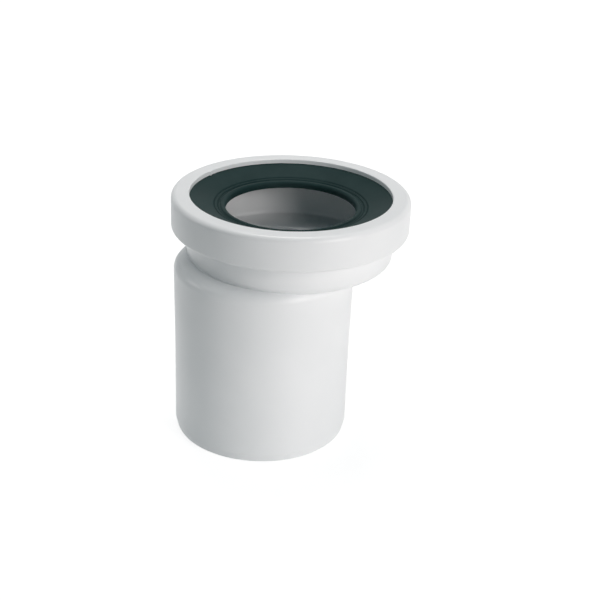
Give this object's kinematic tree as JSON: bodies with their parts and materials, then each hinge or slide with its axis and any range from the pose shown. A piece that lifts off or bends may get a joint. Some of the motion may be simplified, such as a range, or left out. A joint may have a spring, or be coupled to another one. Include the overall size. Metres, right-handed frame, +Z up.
{
  "type": "offset pan connector",
  "caption": "White offset pan connector: plain spigot, wider socket cup set off its axis, and a collar clipped over a dark rubber lip seal, joining a toilet pan to a soil pipe.",
  "frame": {"origin": "centre of the spigot's end, on the face that the part stands on", "axes": "+Z up along the spigot from its end to the mouth, +X from the spigot's axis to the cup's axis"},
  "size_m": [0.1494, 0.1474, 0.1525],
  "materials": {
    "white_plastic": "satin moulded polypropylene",
    "seal_rubber": "smooth dark green-grey rubber"
  },
  "bodies": {
    "root": {"connector_body": "white_plastic", "retaining_collar": "white_plastic", "lip_seal": "seal_rubber"}
  },
  "joints": []
}
